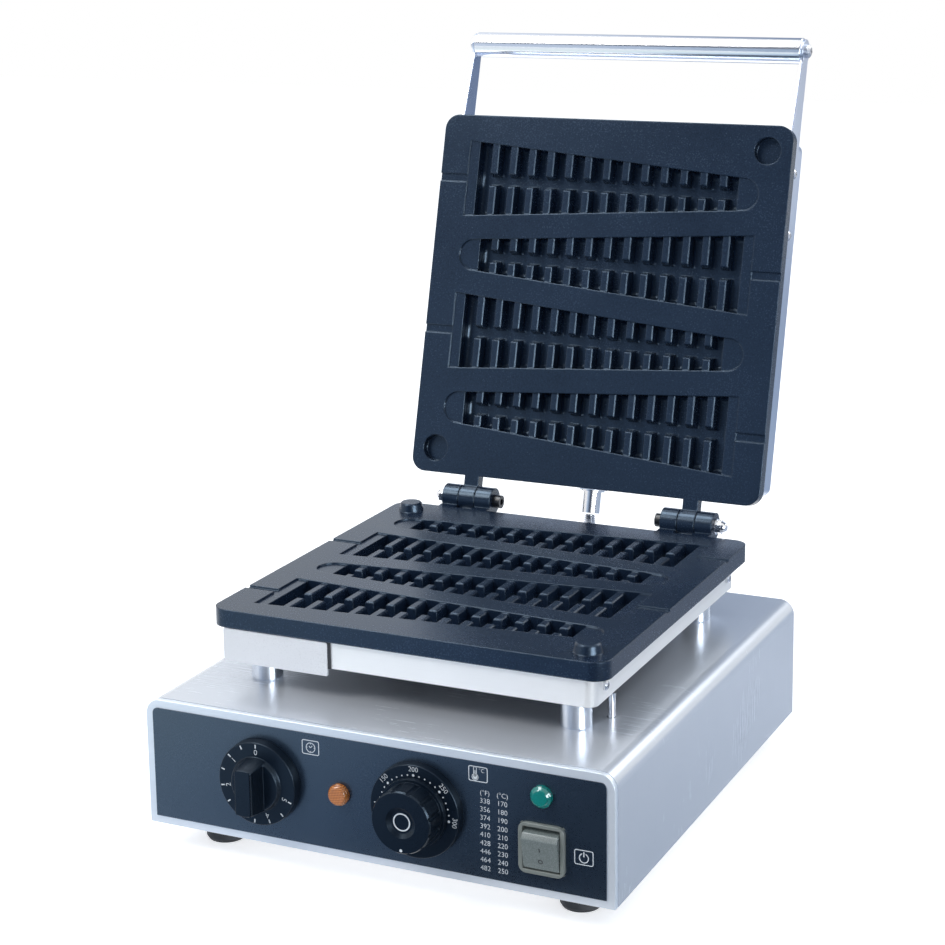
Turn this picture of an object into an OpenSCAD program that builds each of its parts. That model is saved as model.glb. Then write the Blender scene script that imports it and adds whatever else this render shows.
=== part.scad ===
// Four-place stick waffle baker for a food stall. Millimetres.
// +X is the machine's right, +Y the back, +Z up. The origin is on the table under the base centre.
// The lid is drawn open, leaning back on its hinges. Lid pieces are laid out closed and then turned open.

/* [Base cabinet] */
// Width of the base cabinet
body_w = 280; // [234:2:340]
// Depth of the base cabinet
body_d = 302; // [286:2:370]
// Height of the base cabinet without its feet
body_h = 73; // [70:1:100]
// Height of the rubber feet
foot_h = 15.5; // [8:0.5:24]
// Outside radius of the bends along the top of the cabinet
bend_r = 9; // [5:0.5:14]
// Thickness of the sheet steel
sheet_t = 1.2; // [0.8:0.1:1.5]

/* [Controls] */
// Radius of the timer knob skirt
timer_r = 24; // [18:0.5:26]
// Radius of the fixed thermostat dial
dial_r = 26.3; // [22:0.1:28]
// Height of the thermostat knob in front of its dial
cap_h = 15.5; // [10:0.5:20]
// Radius of the signal lamp lenses
lamp_r = 6; // [4:0.25:8]
// Tilt of the rocker at rest
rocker_tilt = 12; // [6:1:14]

/* [Posts and trays] */
// Length of the posts between the cabinet and the lower tray
post_h = 17.5; // [12:0.5:40]
// Diameter of the posts
post_d = 18; // [12:1:24]
// Width of the square trays behind the mould plates
tray_w = 226; // [216:1:228]
// Height of the lower tray
tray_h = 15.8; // [13:0.2:30]
// Depth of the lid's tray
cover_h = 35.5; // [24:0.5:44]

/* [Mould plates] */
// Thickness of the lower mould plate at its rim
plate_t = 10.4; // [8:0.2:14]
// Thickness of the upper mould plate at its rim
lid_plate_t = 8; // [6.5:0.1:12]
// Depth of each half mould
mould_depth = 10; // [6:0.5:12]
// Length of each mould from its wide end to its rounded end
mould_l = 201; // [180:1:204]
// Width of a mould at its wide end
mould_wide = 49.8; // [36:0.2:50]
// Width of a mould at its rounded end
mould_narrow = 20.4; // [16:0.2:24]
// Ribs in each of a mould's two rows
rib_count = 13; // [6:1:13]

/* [Lid and handle] */
// Angle of the open lid from closed
lid_open = 105.4; // [80:0.2:112]
// Reach of the handle bar beyond the lid plate
handle_reach = 51.7; // [36:0.1:80]
// Diameter of the handle bar
tube_d = 16.5; // [13:0.5:22]
// Diameter of the hinge bolts
bolt_d = 5; // [4:0.5:6]

/* [Hidden] */
$fn = 64;
e = 0.01;
// Cabinet
y_front = -body_d / 2;
y_back = body_d / 2;
z_floor = foot_h;
z_deck = foot_h + body_h;
lip_d = 3.4;
seam = 0.5;
face_t = 1.5;
shell_y0 = y_front + lip_d + seam;
rear_t = sheet_t;
flange_w = 12;
inner_w = body_w - 2 * sheet_t;
overlay_t = 0.6;
overlay_edge = 4.6;
y_over = y_front - overlay_t;
foot_r = 12;
foot_x = body_w / 2 - 31;
foot_y = body_d / 2 - 30;
// Control positions, tied to the cabinet width
timer_x = -body_w * 0.2357;
lamp_o_x = -body_w * 0.0645;
dial_x = body_w * 0.1036;
right_x = body_w * 0.3579;
ctrl_z = z_floor + body_h * 0.507;
lamp_g_z = z_floor + body_h * 0.767;
switch_z = z_floor + body_h * 0.37;
shaft_r = 3;
run_gap = 0.05;
skirt_t = 6;
boss_r = timer_r * 0.64;
boss_h = 3;
grip_h = 21;
grip_w = 10.6;
dial_t = 5.5;
cap_r = dial_r * 0.656;
cap_skirt_r = dial_r * 0.73;
lens_h = 4.4;
switch_w = 26;
switch_h = 28;
switch_lip = 2.6;
well_w = 21;
well_h = 23.6;
rocker_w = 20.2;
rocker_half = 10.2;
rocker_u = 7.4;
pivot_u = 5.6;
pivot_y = y_over - switch_lip + pivot_u;
knob_gap = 0.4;
tab_x = body_w / 2 - 12;
tab_h = body_h * 0.8;
cord_x = -body_w * 0.32;
cord_z = z_floor + body_h * 0.34;
base_cz = z_floor + body_h * 0.28;
// Posts, trays and plates
z_tray = z_deck + post_h;
z_rim = z_tray + tray_h;
z_part = z_rim + plate_t;
plate_w = tray_w + 13.4;
plate_l = tray_w + 11;
plate_y = 4.6;
plate_r = 9.6;
tray_y = plate_y - 3.6;
cover_y = plate_y - 0.6;
post_off = tray_w / 2 - 18;
tray_r = 6;
block_in = 4;
block_t = mould_depth + 3.2 - plate_t;
lid_block_t = mould_depth + 3.2 - lid_plate_t;
z_lid = z_part + 0.3;
heat_r = 2.6;
// Moulds
pitch_y = 50.4;
rim_step = 1;
skew = 1;
end_ledge = 7;
dome_x = mould_l / 2 - mould_narrow / 2;
trough_x0 = -mould_l / 2 + end_ledge;
trough_x1 = dome_x - 3.6;
rib_pitch = (trough_x1 - trough_x0 - 21.8) / (rib_count - 1);
rib_x0 = trough_x0 + 11.4;
rib_top_w = min(5.2, rib_pitch * 0.42);
rib_foot_w = rib_top_w + 1.4;
gap_top = 4;
gap_foot = 2.7;
edge_cut = 0.7;
wall_r = 3.6;
floor_w = 40;
taper_top = atan((mould_wide / 2 + skew - mould_narrow / 2 + skew) / (mould_l / 2 + dome_x));
taper_bot = atan((mould_wide / 2 - skew - mould_narrow / 2 - skew) / (mould_l / 2 + dome_x));
stick_w = 5.2;
stick_t = 1.3;
peg_r = 8;
peg_top_r = 7;
peg_h = 5.4;
peg_in = 16;
// Hinges
hinge_y = plate_y + plate_l / 2 + 14.8;
hinge_z = z_part + 2.5;
hinge_x = 75.5;
lug_w = 11;
lug_gap = 0.5;
lug_r = 8.5;
bolt_head_r = bolt_d * 0.85;
bolt_head_h = bolt_d;
nut_r = bolt_d * 0.92;
washer_t = 1;
washer_r = bolt_d;
nut_h = 3.4;
grip_l = 1.5 * lug_w + lug_gap;
acorn_r = bolt_d * 0.72;
// Lid
cover_z0 = z_lid + lid_plate_t;
cover_z1 = cover_z0 + cover_h;
handle_y = plate_y - plate_l / 2 - handle_reach;
handle_z = z_part + 25;
arm_t = 2;
arm_x = tray_w / 2;
arm_z = cover_z0 + 12;
arm_low = 9;
arm_y0 = hinge_y - 171.5;
arm_y1 = hinge_y - 236;
arm_s1 = hinge_y - 185.5;
arm_s2 = hinge_y - 224.5;
arm_tip_r = tube_d / 2 - 0.8;
screw_r = 3.2;
// Conduit
cond_z = cover_z0 + 16;
hose_r = 3.6;
nut_w = 18;
gland_l = 8;
ferrule_r = 6.3;
ferrule_l = 14;
probe_x = tray_w / 2 - 5;
probe_y = -75.6;
probe_r = 2.2;
// Route of the hose: out of the back, up and over, then up into the lid's gland
hose_a = 2;
hose_ay = y_back + gland_l + ferrule_l;
hose_gamma = 180 - lid_open;
gl_y = cover_y + tray_w / 2 + gland_l + ferrule_l - hinge_y;
gl_z = cond_z - hinge_z;
hose_by = hinge_y + gl_y * cos(lid_open) + gl_z * sin(lid_open);
hose_bz = hinge_z - gl_y * sin(lid_open) + gl_z * cos(lid_open);
hose_bend = min(27.5, 0.3 * (hose_bz - base_cz));
hose_vx = hose_by - hose_ay - hose_a + hose_bend * sin(hose_gamma);
hose_vz = hose_bz - base_cz - hose_bend * (1 + cos(hose_gamma));
hose_len = sqrt(max(hose_vx * hose_vx + hose_vz * hose_vz - 4 * hose_bend * hose_bend, 0.01));
hose_beta = atan2(hose_vz, hose_vx) + atan2(2 * hose_bend, hose_len);
hose_p1 = [hose_ay + hose_a + hose_bend * sin(hose_beta), base_cz + hose_bend * (1 - cos(hose_beta))];
hose_p2 = [hose_p1[0] + hose_len * cos(hose_beta), hose_p1[1] + hose_len * sin(hose_beta)];
// Middle of the whole from the knob's face to the open handle's back, which the origin lies under
knob_face_y = y_over - knob_gap - grip_h;
tube_open_y = hinge_y + (handle_y - hinge_y) * cos(lid_open) + (handle_z - hinge_z) * sin(lid_open);
middle_y = (knob_face_y + tube_open_y + tube_d / 2) / 2;

// ---- shared shapes ----

module rrect(w, h, r) {
  square([w, h - 2 * r], center = true);
  square([w - 2 * r, h], center = true);
  for (i = [-1, 1], j = [-1, 1]) translate([i * (w / 2 - r), j * (h / 2 - r)]) circle(r);
}

module cabinet_2d(w, h, r) {
  translate([-w / 2, 0]) square([w, h - r]);
  translate([-w / 2 + r, 0]) square([w - 2 * r, h]);
  for (i = [-1, 1]) translate([i * (w / 2 - r), h - r]) circle(r);
}

// Stand a drawing in X and Z up and give it depth from y0 to y1
module along_y(y0, y1) { translate([0, y1, 0]) rotate([90, 0, 0]) linear_extrude(y1 - y0) children(); }

// Give a drawing in Y and Z depth from x0 to x1
module along_x(x0, x1) { translate([x0, 0, 0]) rotate([90, 0, 90]) linear_extrude(x1 - x0) children(); }

// Turn a piece from the closed place of the lid to its open place
module lid_turn() {
  translate([0, hinge_y, hinge_z]) rotate([-lid_open, 0, 0]) translate([0, -hinge_y, -hinge_z]) children();
}

module pan_screw(r, shank_r, shank_l) {
  difference() {
    union() {
      cylinder(h = r * 0.45, r = r);
      translate([0, 0, r * 0.45]) cylinder(h = r * 0.3, r1 = r, r2 = r * 0.6);
      translate([0, 0, -shank_l]) cylinder(h = shank_l + e, r = shank_r);
    }
    for (a = [0, 90]) rotate(a)
      translate([-r * 0.55, -r * 0.12, r * 0.4]) cube([r * 1.1, r * 0.24, r]);
  }
}

// ---- base cabinet ----

module at_posts() {
  for (i = [-1, 1], j = [-1, 1]) translate([i * post_off, tray_y + j * post_off, 0]) children();
}

module at_feet() { for (i = [-1, 1], j = [-1, 1]) translate([i * foot_x, j * foot_y, 0]) children(); }

module base_shell() color([0.74, 0.76, 0.8]) {
  difference() {
    union() {
      translate([0, 0, z_floor]) along_y(shell_y0, y_back - rear_t) difference() {
        cabinet_2d(body_w, body_h, bend_r);
        translate([0, -1]) cabinet_2d(inner_w, body_h - sheet_t + 1, bend_r - sheet_t);
      }
      for (i = [-1, 1])
        translate([i * (body_w / 2 - sheet_t - flange_w / 2), (shell_y0 + y_back - rear_t) / 2, z_floor + sheet_t / 2])
        cube([flange_w + 2 * e, y_back - rear_t - shell_y0, sheet_t], center = true);
    }
    at_posts() translate([0, 0, z_deck - 2 * sheet_t]) cylinder(h = 4 * sheet_t, r = 2.6);
    translate([probe_x, probe_y, z_deck - 2 * sheet_t]) cylinder(h = 4 * sheet_t, r = probe_r + 0.3);
  }
}

// Everything that passes through the front panel and its printed overlay
module panel_holes() {
  for (x = [timer_x, dial_x]) translate([x, ctrl_z]) circle(5.2);
  translate([lamp_o_x, ctrl_z]) circle(lamp_r - 0.6);
  translate([right_x, lamp_g_z]) circle(lamp_r - 0.6);
  translate([right_x, switch_z]) square([switch_w - 2, switch_h - 2], center = true);
}

module front_panel() color([0.8, 0.84, 0.9]) {
  along_y(y_front, y_front + face_t) difference() {
    translate([0, z_floor]) cabinet_2d(body_w, body_h, bend_r);
    panel_holes();
  }
  translate([0, 0, z_floor]) {
    along_y(y_front + face_t - e, y_front + lip_d) difference() {
      cabinet_2d(body_w, body_h, bend_r);
      translate([0, sheet_t]) cabinet_2d(inner_w, body_h - 2 * sheet_t, bend_r - sheet_t);
    }
    along_y(y_front + lip_d - e, y_front + lip_d + 9) difference() {
      translate([0, sheet_t + 0.3]) cabinet_2d(inner_w - 0.4, body_h - 2 * sheet_t - 0.5, bend_r - sheet_t - 0.2);
      translate([0, 2 * sheet_t]) cabinet_2d(inner_w - 3, body_h - 4 * sheet_t, bend_r - 2 * sheet_t);
      for (i = [-1, 1]) translate([i * body_w / 2, 0])
        square([2 * (flange_w + sheet_t + 1), 4 * sheet_t], center = true);
    }
    along_y(y_front + face_t - e, y_front + lip_d + e) difference() {
      translate([0, sheet_t * 0.6]) cabinet_2d(inner_w + 0.6, body_h - 1.6 * sheet_t + 0.2, bend_r - sheet_t);
      translate([0, 2 * sheet_t]) cabinet_2d(inner_w - 3, body_h - 4 * sheet_t, bend_r - 2 * sheet_t);
    }
  }
}

module control_overlay() color([0.09, 0.11, 0.15])
  along_y(y_over, y_front) difference() {
    translate([0, z_floor + overlay_edge]) cabinet_2d(body_w - 2 * overlay_edge, body_h - 2 * overlay_edge, 3.2);
    panel_holes();
  }

module rear_panel() color([0.74, 0.76, 0.8]) difference() {
  along_y(y_back - rear_t, y_back) difference() {
    translate([0, z_floor]) cabinet_2d(body_w, body_h, bend_r);
    translate([cord_x, cord_z]) circle(7);
    translate([0, base_cz]) circle(ferrule_r + 0.1);
    for (k = [0 : 7]) translate([body_w * 0.14 + k * 8, z_floor + body_h * 0.5])
      square([3.2, body_h * 0.4], center = true);
  }
  at_panel_screws() cylinder(h = 20, r = 1.7, center = true);
}

module bottom_plate() color([0.66, 0.68, 0.7]) difference() {
  union() {
    translate([0, (shell_y0 + 10 + y_back - rear_t) / 2, z_floor + 1.5 * sheet_t])
      cube([inner_w - 0.6, y_back - rear_t - shell_y0 - 10, sheet_t], center = true);
    for (i = [-1, 1]) translate([i * tab_x, y_back - rear_t - sheet_t / 2, z_floor + 2 * sheet_t + tab_h / 2 - e])
      cube([10, sheet_t, tab_h], center = true);
  }
  at_feet() cylinder(h = z_deck, r = 2.4);
  for (k = [-6 : 6]) translate([k * 12, 0, z_floor + 1.5 * sheet_t]) cube([4, 60, 4 * sheet_t], center = true);
  at_panel_screws() cylinder(h = 20, r = 1.7, center = true);
}

module at_panel_screws() {
  for (i = [-1, 1], j = [0.22, 0.8]) translate([i * tab_x, y_back, z_floor + body_h * j])
    rotate([-90, 0, 0]) children();
}

module panel_screw() color([0.8, 0.8, 0.82]) at_panel_screws() pan_screw(screw_r, 1.6, 6);

module cord_gland() color([0.06, 0.06, 0.07]) translate([cord_x, y_back, cord_z]) rotate([-90, 0, 0])
  difference() {
    union() {
      cylinder(h = 3, r = 10, $fn = 6);
      translate([0, 0, 3 - e]) cylinder(h = 9, r1 = 8, r2 = 6.5);
      translate([0, 0, -8]) cylinder(h = 8 + e, r = 6.9);
      translate([0, 0, -rear_t - 4]) cylinder(h = 4, r = 9.5, $fn = 6);
    }
    translate([0, 0, -10]) cylinder(h = 30, r = 3.8);
  }

module foot() color([0.05, 0.05, 0.055]) at_feet() difference() {
  union() {
    cylinder(h = 2, r1 = foot_r - 1.6, r2 = foot_r - 0.4);
    translate([0, 0, 2 - e]) cylinder(h = z_floor + sheet_t - 2 + e, r1 = foot_r - 0.4, r2 = foot_r);
  }
  translate([0, 0, -1]) cylinder(h = 6, r = 5.4);
  cylinder(h = z_deck, r = 2.4);
}

module foot_screw() color([0.75, 0.75, 0.77]) at_feet() {
  translate([0, 0, 2.4]) cylinder(h = 2.6, r = 4.4);
  translate([0, 0, 4]) cylinder(h = z_floor + 2 * sheet_t + 1.5, r = 2.3);
  translate([0, 0, z_floor + 2 * sheet_t]) cylinder(h = 3.2, r = 4.4, $fn = 6);
}

// ---- controls; the front-facing pieces are drawn with their own Z towards the user ----

module facing(x, z, y) { translate([x, y, z]) rotate([90, 0, 0]) children(); }

module timer_body() color([0.85, 0.83, 0.75]) {
  translate([timer_x, y_front + face_t + 13, ctrl_z]) cube([42, 26, 42], center = true);
  facing(timer_x, ctrl_z, y_front + face_t + 2) cylinder(h = face_t + 2 + overlay_t, r = 5);
  facing(timer_x, ctrl_z, y_front + face_t + 2) cylinder(h = face_t + 2 + overlay_t + 12, r = shaft_r);
}

module timer_knob() color([0.05, 0.055, 0.065]) facing(timer_x, ctrl_z, y_over - knob_gap) difference() {
  union() {
    cylinder(h = skirt_t, r1 = timer_r, r2 = timer_r - 0.4);
    translate([0, 0, skirt_t - e]) cylinder(h = boss_h, r1 = boss_r, r2 = boss_r - 1.2);
    intersection() {
      translate([0, 0, skirt_t - e]) cylinder(h = grip_h - skirt_t, r1 = boss_r, r2 = boss_r - 2.2);
      along_y(-boss_r, boss_r) polygon([[-grip_w * 0.62, 0], [grip_w * 0.62, 0],
        [grip_w / 2, grip_h - 0.8], [grip_w / 2 - 0.8, grip_h], [0.8 - grip_w / 2, grip_h],
        [-grip_w / 2, grip_h - 0.8]]);
    }
  }
  translate([0, 0, -1]) cylinder(h = 13.6 - knob_gap + 0.4, r = shaft_r + run_gap);
}

module thermostat_body() color([0.7, 0.68, 0.62]) {
  facing(dial_x, ctrl_z, y_front + face_t + 30) cylinder(h = 30, r = 17);
  facing(dial_x, ctrl_z, y_front + face_t + 2) cylinder(h = face_t + 2 + overlay_t + dial_t, r = 5);
  facing(dial_x, ctrl_z, y_front + face_t + 2) cylinder(h = face_t + 2 + overlay_t + dial_t + 9, r = shaft_r);
}

module thermostat_dial() color([0.05, 0.055, 0.065]) facing(dial_x, ctrl_z, y_over) difference() {
  cylinder(h = dial_t, r1 = dial_r, r2 = dial_r - 0.4);
  translate([0, 0, -1]) cylinder(h = dial_t + 2, r = 5.2);
}

module thermostat_knob() color([0.05, 0.055, 0.065])
  facing(dial_x, ctrl_z, y_over - dial_t - knob_gap) difference() {
    union() {
      cylinder(h = 2.4, r1 = cap_skirt_r, r2 = cap_skirt_r - 0.4);
      translate([0, 0, 2.4 - e]) cylinder(h = cap_h - 3.4, r = cap_r);
      translate([0, 0, cap_h - 1 - 2 * e]) cylinder(h = 1, r1 = cap_r, r2 = cap_r - 0.7);
    }
    translate([0, 0, cap_h - 1.6]) cylinder(h = 3, r1 = cap_r * 0.36, r2 = cap_r * 0.62);
    for (k = [0 : 11]) rotate(k * 30 + 15) translate([cap_r + 1.3, 0, 2.8]) cylinder(h = cap_h, r = 2);
    translate([0, 0, -1]) cylinder(h = 10.6 - knob_gap + 0.4, r = shaft_r + run_gap);
  }

module lamp_body(x, z) facing(x, z, y_front + 22) {
  cylinder(h = 22 + overlay_t, r = lamp_r - 0.7);
  cylinder(h = 22 - face_t, r = lamp_r + 0.8);
}

module lamp_lens(x, z, top_r) facing(x, z, y_over) {
  cylinder(h = 2.2, r = lamp_r);
  translate([0, 0, 2.2 - e]) cylinder(h = lens_h - 3, r1 = lamp_r - 0.3, r2 = top_r);
  translate([0, 0, lens_h - 0.8 - 2 * e]) cylinder(h = 0.8, r1 = top_r, r2 = top_r - 0.8);
}

module orange_lamp_body() color([0.8, 0.8, 0.78]) lamp_body(lamp_o_x, ctrl_z);
module orange_lens() color([0.85, 0.4, 0.1]) lamp_lens(lamp_o_x, ctrl_z, lamp_r - 0.6);
module green_lamp_body() color([0.8, 0.8, 0.78]) lamp_body(right_x, lamp_g_z);
module green_lens() color([0.0, 0.45, 0.36]) lamp_lens(right_x, lamp_g_z, lamp_r - 1.2);

module switch_housing() color([0.6, 0.62, 0.56]) difference() {
  union() {
    facing(right_x, switch_z, y_over) linear_extrude(switch_lip) rrect(switch_w, switch_h, 4.4);
    facing(right_x, switch_z, y_front + 20) linear_extrude(20 + overlay_t + e)
      square([switch_w - 2.4, switch_h - 2.4], center = true);
  }
  facing(right_x, switch_z, pivot_y + 8) linear_extrude(60) square([well_w, well_h], center = true);
  translate([right_x, pivot_y, switch_z]) rotate([0, 90, 0]) cylinder(h = well_w + 1.8, r = 1.4 + run_gap, center = true);
}

module switch_rocker() color([0.62, 0.64, 0.58])
  translate([right_x, pivot_y, switch_z]) rotate([rocker_tilt, 0, 0]) {
    along_x(-rocker_w / 2, rocker_w / 2) polygon([[-rocker_u, 0.8 - rocker_half],
      [-rocker_u, rocker_half - 2.4], [2.6 - rocker_u, rocker_half], [3, rocker_half], [6.4, 5.4], [6.4, -5.4],
      [3, -rocker_half], [0.8 - rocker_u, -rocker_half]]);
    rotate([0, 90, 0]) cylinder(h = well_w + 1.6, r = 1.4, center = true);
  }

// ---- posts and lower tray ----

module post() color([0.8, 0.82, 0.84]) at_posts() translate([0, 0, z_deck]) difference() {
  union() {
    translate([0, 0, 0.6 - e]) cylinder(h = post_h - 1.2 + 2 * e, r = post_d / 2);
    cylinder(h = 0.6, r1 = post_d / 2 - 0.6, r2 = post_d / 2);
    translate([0, 0, post_h - 0.6]) cylinder(h = 0.6, r1 = post_d / 2, r2 = post_d / 2 - 0.6);
  }
  translate([0, 0, -1]) cylinder(h = post_h + 2, r = 2.6);
}

module post_screw() color([0.78, 0.78, 0.8]) at_posts() {
  translate([0, 0, z_deck - sheet_t - 2.6]) cylinder(h = 2.6, r = 4.6);
  translate([0, 0, z_deck - sheet_t - e]) cylinder(h = post_h + 2 * sheet_t + 3.4, r = 2.5);
  translate([0, 0, z_tray + sheet_t]) cylinder(h = 3, r = 4.6, $fn = 6);
}

module tray_pan(h) difference() {
  linear_extrude(h) rrect(tray_w, tray_w, tray_r);
  translate([0, 0, sheet_t]) linear_extrude(h) rrect(tray_w - 2 * sheet_t, tray_w - 2 * sheet_t, tray_r - sheet_t);
}

// Side screws that hold the tray to the blocks under the plate; drawn with Z pointing outwards
module at_tray_screws() {
  for (i = [-1, 1], j = [-1, 1]) translate([i * tray_w / 2, tray_y + j * (tray_w / 2 - 14), z_tray + tray_h * 0.56])
    rotate([0, i * 90, 0]) children();
}

module lower_tray() color([0.86, 0.88, 0.92]) difference() {
  translate([0, tray_y, z_tray]) tray_pan(tray_h);
  at_posts() translate([0, 0, z_tray - 1]) cylinder(h = 2 * sheet_t + 2, r = 2.6);
  at_tray_screws() cylinder(h = 4 * sheet_t, r = 1.7, center = true);
  translate([probe_x, probe_y, z_tray - 1]) cylinder(h = 2 * sheet_t + 2, r = probe_r + 0.05);
}

module tray_screw() color([0.8, 0.8, 0.82]) at_tray_screws() pan_screw(screw_r * 0.9, 1.6, 8);

// A tube heater bent to three sides of a square
module heater_loop(half, r) {
  c = 12;
  for (j = [-1, 1]) translate([-half, j * half, 0]) rotate([0, 90, 0]) cylinder(h = 2 * half - c, r = r);
  translate([half, -half + c, 0]) rotate([-90, 0, 0]) cylinder(h = 2 * half - 2 * c, r = r);
  for (j = [-1, 1]) translate([half - c, j * (half - c), 0]) rotate(j > 0 ? 0 : -90)
    rotate_extrude(angle = 90) translate([c, 0]) circle(r);
}

module lower_heater() color([0.35, 0.34, 0.33])
  translate([0, tray_y, z_rim - block_t - heat_r]) heater_loop(tray_w * 0.32, heat_r);

module lower_insulation() color([0.9, 0.89, 0.85])
  translate([0, tray_y, z_tray + sheet_t]) linear_extrude(max(tray_h - sheet_t - block_t - 2 * heat_r - 0.4, 0.6))
    difference() {
      square(tray_w - 20, center = true);
      for (i = [-1, 1], j = [-1, 1]) translate([i * post_off, j * post_off]) square(24, center = true);
    }

// ---- mould plates ----

// Plan of one mould: wide end at -X, rounded end at +X
module mould_plan() {
  polygon([[-mould_l / 2, mould_wide / 2 + skew], [dome_x, mould_narrow / 2 - skew],
    [dome_x, -mould_narrow / 2 - skew], [-mould_l / 2, -mould_wide / 2 + skew]]);
  translate([dome_x, -skew]) circle(mould_narrow / 2);
}

// Space inside one long wall, rounded into the floor, the wall on the line Y = 0
module wall_space() along_x(-20, mould_l + 20) {
  translate([wall_r, -mould_depth]) square([60, mould_depth + 1]);
  translate([0, wall_r - mould_depth]) square([62, mould_depth - wall_r + 1]);
  translate([wall_r, wall_r - mould_depth]) circle(wall_r);
}

module trough() intersection() {
  along_y(-floor_w, floor_w) {
    translate([trough_x0 + wall_r, -mould_depth]) square([trough_x1 - trough_x0 - 2 * wall_r, mould_depth]);
    translate([trough_x0, wall_r - mould_depth]) square([trough_x1 - trough_x0, mould_depth - wall_r]);
    for (x = [trough_x0 + wall_r, trough_x1 - wall_r]) translate([x, wall_r - mould_depth]) circle(wall_r);
  }
  translate([-mould_l / 2, mould_wide / 2 + skew, 0]) rotate(-taper_top) mirror([0, 1, 0]) wall_space();
  translate([-mould_l / 2, -mould_wide / 2 + skew, 0]) rotate(taper_bot) wall_space();
}

module ribs() intersection() {
  along_y(-floor_w - 1, floor_w + 1) for (k = [0 : rib_count - 1]) translate([rib_x0 + k * rib_pitch, 0])
    polygon([[-rib_foot_w / 2 - 1, -mould_depth - 1], [-rib_foot_w / 2 - 1, -mould_depth],
      [-rib_foot_w / 2, 1.2 - mould_depth], [-rib_top_w / 2, -rim_step - edge_cut],
      [edge_cut - rib_top_w / 2, -rim_step], [rib_top_w / 2 - edge_cut, -rim_step],
      [rib_top_w / 2, -rim_step - edge_cut], [rib_foot_w / 2, 1.2 - mould_depth],
      [rib_foot_w / 2 + 1, -mould_depth], [rib_foot_w / 2 + 1, -mould_depth - 1]]);
  rotate(-atan(2 * skew / (mould_l / 2 + dome_x))) along_x(-mould_l, mould_l) for (j = [-1, 1])
    polygon([[j * gap_foot, -mould_depth - 2], [j * gap_foot, -mould_depth], [j * gap_top, -rim_step - edge_cut],
      [j * (gap_top + edge_cut), -rim_step], [j * (floor_w + 9), -rim_step], [j * (floor_w + 9), -mould_depth - 2]]);
}

module mould_tool() {
  translate([0, 0, -rim_step]) linear_extrude(rim_step + 1) mould_plan();
  difference() {
    trough();
    ribs();
  }
  translate([-plate_w / 2 - 1, skew - stick_w / 2, -stick_t])
    cube([plate_w / 2 + 1 - mould_l / 2 + e, stick_w, stick_t + 1]);
}

// A mould plate lying face up, its face at Z = 0 and centred on the plate
module mould_plate(rim, block, block_y) difference() {
  union() {
    translate([0, 0, -rim]) linear_extrude(rim) rrect(plate_w, plate_l, plate_r);
    translate([0, block_y - plate_y, -rim - block]) linear_extrude(block + e)
      rrect(tray_w - 2 * block_in, tray_w - 2 * block_in, tray_r);
  }
  for (k = [0 : 3]) translate([0, (k - 1.5) * pitch_y, 0]) rotate(k % 2 == 0 ? 0 : 180) mirror([0, 1, 0]) mould_tool();
}

module at_pegs() {
  for (i = [-1, 1]) translate([i * (plate_w / 2 - peg_in), plate_y - i * (plate_l / 2 - peg_in), 0]) children();
}

module lug(x) translate([x, hinge_y, hinge_z]) rotate([0, 90, 0]) cylinder(h = lug_w, r = lug_r, center = true);

module hinge_bores(extra) {
  translate([0, hinge_y, hinge_z]) rotate([0, 90, 0]) cylinder(h = 2 * plate_w, r = bolt_d / 2 + extra, center = true);
}

module lower_plate() color([0.1, 0.115, 0.15]) difference() {
  union() {
    translate([0, plate_y, z_part]) mould_plate(plate_t, block_t, tray_y);
    at_pegs() {
      translate([0, 0, z_part - e]) cylinder(h = peg_h - 0.8, r1 = peg_r, r2 = peg_top_r);
      translate([0, 0, z_part + peg_h - 0.8 - 2 * e]) cylinder(h = 0.8, r1 = peg_top_r, r2 = peg_top_r - 0.8);
    }
    for (i = [-1, 1], k = [-1, 1]) {
      lug(i * hinge_x + k * (lug_w + lug_gap));
      translate([i * hinge_x + k * (lug_w + lug_gap), (plate_y + plate_l / 2 + hinge_y) / 2 - 1, z_part - 4.3])
        cube([lug_w, hinge_y - plate_y - plate_l / 2 + 2, 8], center = true);
    }
    for (i = [-1, 1], j = [-1, 1])
      translate([i * (tray_w / 2 - sheet_t - 5.2), tray_y + j * (tray_w / 2 - 14), z_tray + tray_h / 2 + 1.6])
        cube([9.6, 12, tray_h - 3.2 + 2 * e], center = true);
  }
  hinge_bores(run_gap);
  at_tray_screws() cylinder(h = 20, r = 1.7, center = true);
}

module upper_plate() color([0.1, 0.115, 0.15]) lid_turn() difference() {
  union() {
    translate([0, plate_y, z_lid]) mirror([0, 0, 1]) mould_plate(lid_plate_t, lid_block_t, cover_y);
    for (i = [-1, 1]) {
      lug(i * hinge_x);
      translate([i * hinge_x, (plate_y + plate_l / 2 + hinge_y) / 2 - 1, z_lid + 3.6])
        cube([lug_w - 1, hinge_y - plate_y - plate_l / 2 + 2, 7.2], center = true);
    }
    at_cover_screws() translate([0, 0, lid_block_t - cover_h - e])
      cylinder(h = cover_h - sheet_t - lid_block_t + e, r = 5);
  }
  hinge_bores(run_gap);
  at_pegs() translate([0, 0, z_lid - 1]) cylinder(h = peg_h + 1.4, r = peg_r + 0.6);
  at_cover_screws() translate([0, 0, -9]) cylinder(h = 20, r = 1.7);
}

// ---- hinges ----

module at_hinges() {
  for (i = [-1, 1]) translate([i * hinge_x, hinge_y, hinge_z]) rotate([0, i * 90, 0]) children();
}

module hinge_bolt() color([0.09, 0.09, 0.1]) at_hinges() difference() {
  union() {
    translate([0, 0, -bolt_head_h - grip_l]) cylinder(h = bolt_head_h, r = bolt_head_r);
    translate([0, 0, -grip_l - e]) cylinder(h = 2 * grip_l + washer_t + nut_h + e, r = bolt_d / 2);
  }
  translate([0, 0, -bolt_head_h - grip_l - 1]) cylinder(h = bolt_d * 0.5 + 1, r = bolt_d * 0.46, $fn = 6);
}

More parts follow.
